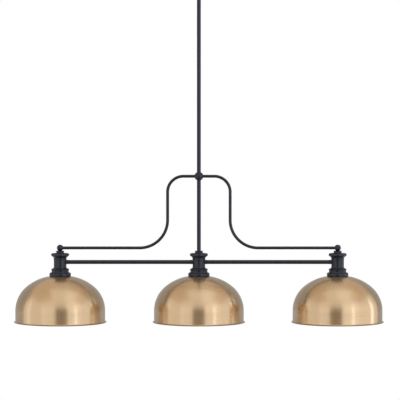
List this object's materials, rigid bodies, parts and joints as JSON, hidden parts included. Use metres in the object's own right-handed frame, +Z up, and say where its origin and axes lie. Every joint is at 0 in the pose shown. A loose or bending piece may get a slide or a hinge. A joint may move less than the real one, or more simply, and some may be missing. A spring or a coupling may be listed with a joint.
{
  "type": "linear island pendant",
  "caption": "Linear island pendant: black stem and scroll frame carry a row of brushed brass dome shades; hangs from a ceiling box on a swivel, bulbs unscrew.",
  "frame": {"origin": "ceiling plane, at the middle of the canopy and between the two mounting slots; the fixture hangs below it", "axes": "+Z up into the ceiling, +X along the row of shades, +Y towards the back"},
  "size_m": [1.2191, 0.3048, 1.1859],
  "materials": {
    "frame_black": "satin",
    "shade_brass": "brushed",
    "zinc_steel": "satin",
    "ground_green": "satin",
    "porcelain": "gloss",
    "nut_black": "matte",
    "contact_brass": "bright",
    "bulb_cap_nickel": "bright",
    "bulb_tip_dark": "gloss",
    "bulb_glass": "frosted"
  },
  "bodies": {
    "ceiling": {"mounting_bar": "zinc_steel", "ground_screw": "ground_green", "lock_nut": "zinc_steel", "hanger_nipple": "zinc_steel", "canopy": "frame_black", "canopy_collar": "frame_black"},
    "swivel": {"swivel_body": "frame_black", "swivel_pin": "frame_black"},
    "pendant": {"swivel_tongue": "frame_black", "stem_upper": "frame_black", "stem_middle": "frame_black", "stem_lower": "frame_black", "hub_ball": "frame_black", "scroll_left": "frame_black", "scroll_right": "frame_black", "end_ball_left": "frame_black", "end_ball_right": "frame_black", "arm_left": "frame_black", "arm_right": "frame_black", "arm_ferrules": "frame_black", "pipe_nipples": "zinc_steel", "seat_left": "frame_black", "cap_left": "frame_black", "body_left": "frame_black", "step_ring_left": "frame_black", "shade_cup_left": "frame_black", "shade_left": "shade_brass", "lampholder_left": "porcelain", "shade_nut_left": "nut_black", "screw_shell_left": "contact_brass", "centre_contact_left": "contact_brass", "seat_middle": "frame_black", "cap_middle": "frame_black", "body_middle": "frame_black", "step_ring_middle": "frame_black", "shade_cup_middle": "frame_black", "shade_middle": "shade_brass", "lampholder_middle": "porcelain", "shade_nut_middle": "nut_black", "screw_shell_middle": "contact_brass", "centre_contact_middle": "contact_brass", "seat_right": "frame_black", "cap_right": "frame_black", "body_right": "frame_black", "step_ring_right": "frame_black", "shade_cup_right": "frame_black", "shade_right": "shade_brass", "lampholder_right": "porcelain", "shade_nut_right": "nut_black", "screw_shell_right": "contact_brass", "centre_contact_right": "contact_brass"},
    "bulb_left_lift": {"bulb_tip_left": "bulb_tip_dark"},
    "bulb_left": {"bulb_cap_left": "bulb_cap_nickel", "bulb_glass_left": "bulb_glass"},
    "bulb_middle_lift": {"bulb_tip_middle": "bulb_tip_dark"},
    "bulb_middle": {"bulb_cap_middle": "bulb_cap_nickel", "bulb_glass_middle": "bulb_glass"},
    "bulb_right_lift": {"bulb_tip_right": "bulb_tip_dark"},
    "bulb_right": {"bulb_cap_right": "bulb_cap_nickel", "bulb_glass_right": "bulb_glass"}
  },
  "joints": [
    {"name": "swivel_turn", "type": "hinge", "parent": "ceiling", "child": "swivel", "pos_m": [0, 0, -0.0317], "axis": [0, 0, 1], "range_deg": [-170, 170]},
    {"name": "swivel_tilt", "type": "hinge", "parent": "swivel", "child": "pendant", "pos_m": [0, 0, -0.0567], "axis": [0, 1, 0], "range_deg": [-45, 45]},
    {"name": "bulb_left_travel", "type": "slide", "parent": "pendant", "child": "bulb_left_lift", "axis": [0, 0, -1], "range_m": [0, 0.02361]},
    {"name": "bulb_left_turn", "type": "hinge", "parent": "bulb_left_lift", "child": "bulb_left", "pos_m": [-0.4572, 0, -1.0417], "axis": [0, 0, -1], "range_deg": [0, 2340]},
    {"name": "bulb_middle_travel", "type": "slide", "parent": "pendant", "child": "bulb_middle_lift", "axis": [0, 0, -1], "range_m": [0, 0.02361]},
    {"name": "bulb_middle_turn", "type": "hinge", "parent": "bulb_middle_lift", "child": "bulb_middle", "pos_m": [0, 0, -1.0417], "axis": [0, 0, -1], "range_deg": [0, 2340]},
    {"name": "bulb_right_travel", "type": "slide", "parent": "pendant", "child": "bulb_right_lift", "axis": [0, 0, -1], "range_m": [0, 0.02361]},
    {"name": "bulb_right_turn", "type": "hinge", "parent": "bulb_right_lift", "child": "bulb_right", "pos_m": [0.4572, 0, -1.0417], "axis": [0, 0, -1], "range_deg": [0, 2340]}
  ],
  "couplings": [
    {"joint": "bulb_left_travel", "follows": "bulb_left_turn", "m_per_rad": 0.0005775},
    {"joint": "bulb_middle_travel", "follows": "bulb_middle_turn", "m_per_rad": 0.0005775},
    {"joint": "bulb_right_travel", "follows": "bulb_right_turn", "m_per_rad": 0.0005775}
  ]
}
